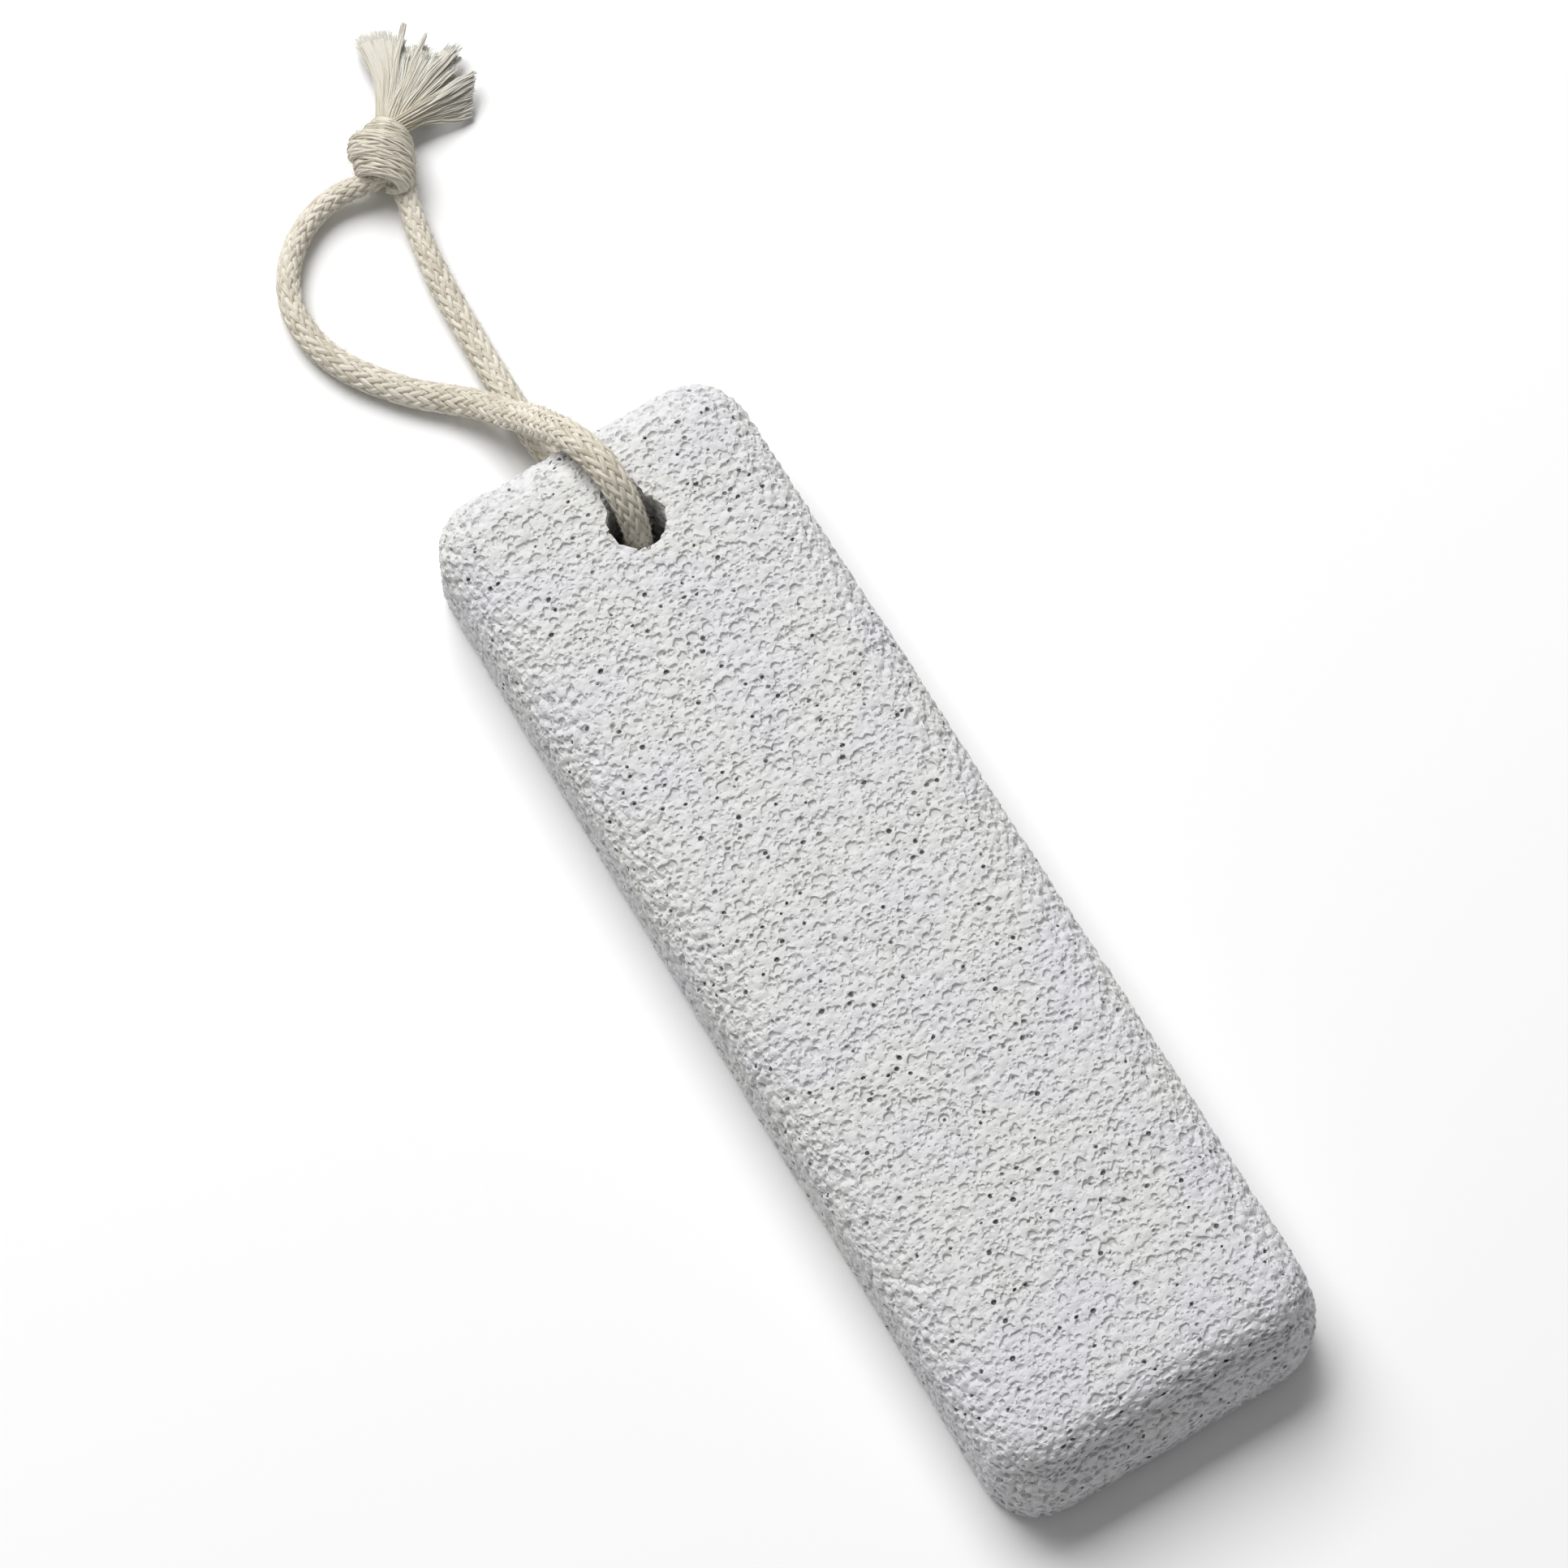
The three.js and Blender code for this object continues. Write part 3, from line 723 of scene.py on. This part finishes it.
# %% Fuzz tree
def fuzz_tree(finish):
    tree, given = new_tree("fuzz", Hairs=1000, HairLength=0.0008, HairRadius=0.000022, Depth=1.12)
    get = {socket.name: socket for socket in given}
    path = geo(tree, "MeshToCurve", {0: get["Geometry"]})
    line = geo(tree, "CurvePrimitiveLine", {"End": (1.0, 0.0, 0.0)})
    line = geo(tree, "ResampleCurve", {"Curve": line, "Count": 5})
    hairs = geo(tree, "DuplicateElements",
                {"Geometry": line, "Amount": get["Hairs"]}, domain="SPLINE")
    where = chance(tree, 71, 0.01, 0.99)
    angle = chance(tree, 72, 0.0, 2 * math.pi)
    sampled = [along_route(tree, path, where, name) for name in ("side", "up")]
    across = scaled(tree, sampled[0].outputs["Value"], calc(tree, "COSINE", angle))
    upward = scaled(tree, sampled[1].outputs["Value"], calc(tree, "SINE", angle))
    from_middle = vector_calc(tree, "ADD", across, upward)
    outward = vector_calc(tree, "NORMALIZE", from_middle)
    tangent = sampled[0].outputs["Tangent"]
    around = vector_calc(tree, "CROSS_PRODUCT", outward, tangent)
    factor = node(tree, "GeometryNodeSplineParameter").outputs["Factor"]
    length = times(tree, get["HairLength"], chance(tree, 73, 0.4, 1.0))
    sweep = vector_calc(tree, "ADD", scaled(tree, tangent, chance(tree, 74)),
                        scaled(tree, around, chance(tree, 75)))
    curl = vector_calc(tree, "ADD", scaled(tree, tangent, chance(tree, 76)),
                       scaled(tree, around, chance(tree, 77)))
    rise = scaled(tree, outward, times(tree, factor, 0.55))
    lean_over = vector_calc(tree, "ADD", scaled(tree, sweep, factor),
                            scaled(tree, curl, times(tree, factor, factor)))
    reach = scaled(tree, vector_calc(tree, "ADD", rise, lean_over), length)
    root = vector_calc(tree, "ADD", sampled[0].outputs["Position"],
                       scaled(tree, from_middle, get["Depth"]))
    x, y, z = parts_of(tree, vector_calc(tree, "ADD", root, reach))
    place = xyz(tree, x, y, calc(tree, "MAXIMUM", z, 0.05 * MM))
    hairs = geo(tree, "SetPosition", {"Geometry": hairs, "Position": place})
    hairs = store(tree, hairs, "open", calc(tree, "MULTIPLY_ADD", factor, 0.3, 0.7))
    section = geo(tree, "CurvePrimitiveCircle", {"Resolution": 3, "Radius": get["HairRadius"]})
    mesh = geo(tree, "CurveToMesh", {"Curve": hairs, "Profile Curve": section,
               "Fill Caps": True})
    close_tree(tree, mesh, finish)
    return tree


# %% Let the cord and the knot go fuzzy
fuzz = fuzz_tree(fibre_finish)
cord_fuzz = run_tree("cord_fuzz", cord_path, fuzz, Hairs=3600)
knot_fuzz = run_tree("knot_fuzz", knot_line, fuzz, Hairs=900, Depth=1.2)

# %% [markdown]
# ## Pumice: foam turned to stone
# Pumice is lava that froze while gas was bubbling out of it, so it is foam all the way through.
# Sawing and wearing the bar cuts every bubble at its own height. A bubble cut near its top leaves a small
# deep pit, and one cut near its bottom leaves a wide shallow dish with a crisp rim.
# Painting spots would miss that, so the bubbles are worked out as spheres in space. Cell noise scatters
# their centres, and each point of the surface sinks to the far wall of whichever bubble it lies in.

# %% One size of bubble
# place is the point, in millimetres, and facing is the way the surface looks there.
def bubbles(tree, place, facing, cell, small, large, deepest, seed):
    moved = vector_calc(tree, "ADD", place, (seed * 17.3, seed * 5.1, seed * 9.7))
    cells = node(tree, "ShaderNodeTexVoronoi", {"Vector": moved, "Scale": 1.0 / cell, "Randomness": 1.0},
                 voronoi_dimensions="3D", feature="F1")
    luck = parts_of(tree, cells.outputs["Color"])[0]
    radius = calc(tree, "MULTIPLY_ADD", luck, large - small, small)
    offset = vector_calc(tree, "SUBTRACT", moved, cells.outputs["Position"])
    along = vector_calc(tree, "DOT_PRODUCT", offset, facing)
    away = vector_calc(tree, "DOT_PRODUCT", offset, offset)
    square = times(tree, radius, radius)
    room = calc(tree, "SUBTRACT", calc(tree, "MULTIPLY_ADD", along, along, square), away)
    wall = calc(tree, "ADD", along, calc(tree, "SQRT", calc(tree, "MAXIMUM", room, 0.0)))
    inside = calc(tree, "LESS_THAN", away, square)
    depth = times(tree, calc(tree, "MAXIMUM", wall, 0.0), inside)
    return calc(tree, "SMOOTH_MIN", depth, deepest, 0.3 * deepest)


# Foam is drawn out a little across the bar, and no bubble is a perfect sphere.
def foam_place(tree, position):
    millimetres = scaled(tree, position, 1.0 / MM)
    drawn_out = vector_calc(tree, "MULTIPLY", millimetres, (1.0, 0.82, 1.0))
    bent = wander(tree, drawn_out, 0.7, 2.0)
    return vector_calc(tree, "ADD", drawn_out, scaled(tree, bent, 0.26))


# %% Bubble sizes: cell, smallest and largest radius, deepest pit, seed
PITS = [
    (1.9, 0.36, 0.66, 0.38, 1),
    (1.3, 0.25, 0.48, 0.42, 2),
    (0.95, 0.19, 0.36, 0.36, 3),
    (0.72, 0.15, 0.28, 0.28, 4),
]
PINHOLES = (1.42, 0.17, 0.33, 0.80, 5)
FINE_PITS = [
    (0.50, 0.10, 0.20, 0.15, 7),
]


# The deepest of several sizes, at one point.
def all_bubbles(tree, place, facing, sizes):
    depth = None
    for size in sizes:
        one = bubbles(tree, place, facing, *size)
        depth = one if depth is None else calc(tree, "SMOOTH_MAX", depth, one, 0.04)
    return depth


# %% Stone tree
WORN_SPOT = (-73.6, -9.5, 17.0)
HOLE_MIDDLE = (-59.3, 1.6, 0.0)


def stone_tree():
    tree, given = new_tree("pumice")
    position = geo(tree, "InputPosition")
    facing = geo(tree, "InputNormal")
    place = foam_place(tree, position)
    depth = all_bubbles(tree, place, facing, PITS + [PINHOLES])
    # lumps between the pits, most of all where the edges are worn round
    lumps = node(tree, "ShaderNodeTexVoronoi", {"Vector": place, "Scale": 1.0 / 1.05},
                 voronoi_dimensions="3D", feature="SMOOTH_F1")
    lumps.inputs["Smoothness"].default_value = 0.3
    upright = calc(tree, "ABSOLUTE", parts_of(tree, facing)[2])
    worn_round = span(tree, upright, 1.0, 0.9, 0.32, 0.68)
    lump = times(tree, calc(tree, "POWER", lumps.outputs["Distance"], 2.0), worn_round)
    # slow unevenness, only inwards
    millimetres = scaled(tree, position, 1.0 / MM)
    swell = noise(tree, millimetres, 0.07, 2.0)
    uneven = times(tree, swell, 0.35)
    grit = noise(tree, millimetres, 1.6, 2.0)
    sink = calc(tree, "MULTIPLY_ADD", depth, 0.8, calc(tree, "MULTIPLY_ADD", grit, 0.06, uneven))
    sink = calc(tree, "ADD", sink, lump)
    # worn away where the cord rubs on the end, and broken out a little round the hole
    from_worn = vector_calc(tree, "DISTANCE", millimetres, WORN_SPOT)
    worn_off = span(tree, from_worn, 5.0, 0.0, 0.0, 0.75, curve="SMOOTHSTEP")
    from_hole = vector_calc(tree, "LENGTH", vector_calc(tree, "MULTIPLY", vector_calc(
        tree, "SUBTRACT", millimetres, HOLE_MIDDLE), (1.0, 1.0, 0.0)))
    near_rim = span(tree, from_hole, 5.0, 3.4)
    crumbs = noise(tree, millimetres, 0.55, 1.0)
    crumbs = span(tree, crumbs, 0.45, 0.75)
    broken = times(tree, times(tree, crumbs, near_rim), 0.55)
    # the upper edge of the foot is rubbed down to a fuller curve
    x, _, z = parts_of(tree, millimetres)
    at_foot = span(tree, x, 64.0, 73.0, curve="SMOOTHSTEP")
    from_edge = calc(tree, "ABSOLUTE", calc(tree, "SUBTRACT", z, 16.0))
    on_edge = span(tree, from_edge, 6.5, 0.0, curve="SMOOTHSTEP")
    rubbed = times(tree, times(tree, at_foot, on_edge), 1.7)
    sink = calc(tree, "ADD", calc(tree, "ADD", sink, rubbed), calc(tree, "ADD", worn_off, broken))
    # the back rests on the table, so the highest places between its pits are left where they were
    resting = span(tree, parts_of(tree, facing)[2], -0.9, -0.99, 0.0, 0.2)
    sink = calc(tree, "SUBTRACT", sink, resting)
    inward = scaled(tree, facing, times(tree, sink, -MM))
    # the finish needs the surface as it was before the bubbles were cut
    kept = store(tree, given[0], "foam", place, "FLOAT_VECTOR")
    kept = store(tree, kept, "facing", facing, "FLOAT_VECTOR")
    worn = geo(tree, "SetPosition", {"Geometry": kept, "Offset": inward})
    tree.links.new(worn, tree.nodes.new("NodeGroupOutput").inputs[0])
    return tree


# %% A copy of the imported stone, as one closed skin of even small faces
VOXEL = 0.26 * MM

def skin_of(cad_name, name, voxel):
    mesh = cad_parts[cad_name].data.copy()
    mesh.name = name
    piece = bpy.data.objects.new(name, mesh)
    bpy.context.scene.collection.objects.link(piece)
    weld = piece.modifiers.new("weld", "WELD")
    weld.merge_threshold = 0.002 * MM
    remesh = piece.modifiers.new("remesh", "REMESH")
    remesh.mode = "VOXEL"
    remesh.voxel_size = voxel
    smooth = piece.modifiers.new("smooth", "SMOOTH")
    smooth.factor = 0.5
    smooth.iterations = 6
    return bake_down(piece)


# Replaces a piece's mesh by what its modifiers make of it.
def bake_down(piece):
    bpy.context.view_layer.update()
    done = bpy.data.meshes.new_from_object(piece.evaluated_get(bpy.context.evaluated_depsgraph_get()))
    piece.modifiers.clear()
    piece.data = done
    done.name = piece.name
    return piece


stone = skin_of("pumice_stone", "stone", VOXEL)
print("skin of the stone:", len(stone.data.vertices), "points")

# %% Cut the bubbles
STONE_TRIANGLES = 192000
# how freely each side may lose faces, by how far its surface looks up
BACK_UP_TO, SIDES_UP_TO = -0.2, 0.25
SPARE_BACK, SPARE_SIDES, SPARE_TOP = 1.0, 0.6, 0.25

cutter = stone.modifiers.new("bubbles", "NODES")
cutter.node_group = stone_tree()
bake_down(stone)
unseen = stone.vertex_groups.new(name="unseen")
facing_up = np.empty(len(stone.data.vertices) * 3)
stone.data.vertices.foreach_get("normal", facing_up)
for k, height in enumerate(facing_up.reshape(-1, 3)[:, 2]):
    spare = SPARE_BACK if height < BACK_UP_TO else SPARE_SIDES if height < SIDES_UP_TO else SPARE_TOP
    unseen.add([k], spare, "REPLACE")
thin = stone.modifiers.new("thin", "DECIMATE")
thin.vertex_group = "unseen"
thin.vertex_group_factor = 1.0
thin.ratio = min(1.0, STONE_TRIANGLES / triangles(stone.data.polygons))
bake_down(stone)
on_top = triangles(face for face in stone.data.polygons if face.normal.z > SIDES_UP_TO)
print("stone:", triangles(stone.data.polygons), "triangles,", on_top, "on the top")

# %% [markdown]
# ## Pumice finish
# The stone is one grey all through: there is no coat on it, so its look is mostly relief.
# The mesh holds the larger bubbles. Those under half a millimetre across would need millions of faces, so
# the finish works them out with the same rule, as bump. It reads the surface as it was before any bubble
# was cut, which the stone tree stored, so the fine bubbles stay round and the large ones line up with the
# mesh. The finish also paints shade into the colour: darker in deep pits, more so on the sides, and darkest
# in the deepest pinholes, where hardly any light comes back out.

# %% Pumice finish
def pumice_finish():
    material = bpy.data.materials.new("pumice")
    material.use_nodes = True
    tree = material.node_tree
    surface = tree.nodes["Principled BSDF"]
    position = node(tree, "ShaderNodeTexCoord").outputs["Object"]
    millimetres = scaled(tree, position, 1.0 / MM)
    place = stored(tree, "foam", "Vector")
    facing = stored(tree, "facing", "Vector")
    facing = vector_calc(tree, "NORMALIZE", facing)
    wide = all_bubbles(tree, place, facing, PITS)
    fine = all_bubbles(tree, place, facing, FINE_PITS)
    pin = bubbles(tree, place, facing, *PINHOLES)
    grain = noise(tree, millimetres, 5.0, 3.0)
    relief = calc(tree, "MAXIMUM", calc(tree, "MAXIMUM", times(tree, wide, 0.65), fine), pin)
    height = calc(tree, "SUBTRACT", times(tree, grain, 0.05), relief)
    bump = node(tree, "ShaderNodeBump", {"Height": height, "Distance": MM, "Strength": 0.7})
    tree.links.new(bump.outputs["Normal"], surface.inputs["Normal"])
    # colour: light grey in faint warm and cool patches, with painted shade where a pit is deep
    patch = noise(tree, millimetres, 0.09, 2.0)
    # cooler towards the foot
    foot = span(tree, parts_of(tree, millimetres)[0], 35.0, 75.0, 0.0, 0.22)
    tint = node(tree, "ShaderNodeValToRGB", {"Fac": calc(tree, "SUBTRACT", patch, foot)})
    tint.color_ramp.elements[0].position = 0.30
    tint.color_ramp.elements[0].color = (0.672, 0.672, 0.695, 1)
    tint.color_ramp.elements[1].position = 0.65
    tint.color_ramp.elements[1].color = (0.69, 0.688, 0.670, 1)
    # painted shade in the pits, stronger on the sides, which look into the table and each other, than on top
    upright = calc(tree, "ABSOLUTE", parts_of(tree, facing)[2])
    strongest_pit_shade = span(tree, upright, 1.0, 0.2, 0.15, 0.45)
    pit_painted_shade = span(tree, wide, 0.05, 0.60, 0.0, strongest_pit_shade)
    # painted shade in the pinholes, mixed towards a near black grey
    pinhole_painted_shade = span(tree, pin, 0.09, 0.34)
    mix = node(tree, "ShaderNodeMix", {"Factor": calc(tree, "MAXIMUM", pit_painted_shade, pinhole_painted_shade)}, data_type="RGBA")
    tree.links.new(tint.outputs["Color"], mix.inputs[6])
    mix.inputs[7].default_value = (0.13, 0.13, 0.13, 1)
    tree.links.new(mix.outputs[2], surface.inputs["Base Color"])
    surface.inputs["Roughness"].default_value = 0.95
    surface.inputs["Specular IOR Level"].default_value = 0.2
    return material


stone.data.materials.clear()
stone.data.materials.append(pumice_finish())
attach(stone, "root")
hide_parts("pumice_stone")

# %% [markdown]
# ## Light and floor
# The stone lies on a plain, nearly white table under one large soft lamp, high on the cord's side.
# The lamp shades the wall of each pit that is nearest to it and lights the wall across from it,
# and an even white sky fills the shadows.

# %% Lamps, sky and floor
LAMP_FROM = math.radians(180)  # in plan, from +X
LAMP_HEIGHT = math.radians(55)
LAMP_DISTANCE = 1.6
LAMP_SIZE = 1.1

lamp = bpy.data.objects.new("key_lamp", bpy.data.lights.new("key_lamp", "AREA"))
bpy.context.scene.collection.objects.link(lamp)
lamp.data.shape = "SQUARE"
lamp.data.size = LAMP_SIZE
lamp.data.energy = 31.0
towards_lamp = Vector((
    math.cos(LAMP_HEIGHT) * math.cos(LAMP_FROM),
    math.cos(LAMP_HEIGHT) * math.sin(LAMP_FROM),
    math.sin(LAMP_HEIGHT),
))
lamp.location = AIM + LAMP_DISTANCE * towards_lamp
lamp.rotation_euler = (-towards_lamp).to_track_quat("-Z", "Y").to_euler()

sky = bpy.data.worlds.new("sky")
sky.use_nodes = True
sky.node_tree.nodes["Background"].inputs["Color"].default_value = (1.0, 1.0, 1.0, 1)
sky.node_tree.nodes["Background"].inputs["Strength"].default_value = 0.21
bpy.context.scene.world = sky
bpy.context.scene.view_settings.view_transform = "Standard"

floor_mesh = bpy.data.meshes.new("floor")
floor_mesh.from_pydata([(-3, -3, 0), (3, -3, 0), (3, 3, 0), (-3, 3, 0)], [], [(0, 1, 2, 3)])
floor = bpy.data.objects.new("floor", floor_mesh)
bpy.context.scene.collection.objects.link(floor)
floor_finish = bpy.data.materials.new("white_table")
floor_finish.use_nodes = True
floor_finish.node_tree.nodes["Principled BSDF"].inputs["Base Color"].default_value = (0.93, 0.93, 0.93, 1)
floor_finish.node_tree.nodes["Principled BSDF"].inputs["Roughness"].default_value = 0.9
floor_mesh.materials.append(floor_finish)

# %% [markdown]
# ## Hand the pieces to the frame
# Every piece rides on the one body. All but the fuzz stand in for a plain solid of the frame, which is
# hidden.

# %% Ride and replace
strands = [strand_behind, strand_in_front]
for piece in strands:
    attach(piece, "root")
    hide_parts("cord")
for piece, node_name, slot in ((knot, "knot", "knotted_cotton"), (frays, "frayed_ends", "loose_cotton")):
    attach(piece, "root")
    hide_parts(node_name)
for piece, slot in ((cord_fuzz, "braided_cotton"), (knot_fuzz, "knotted_cotton")):
    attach(piece, "root")
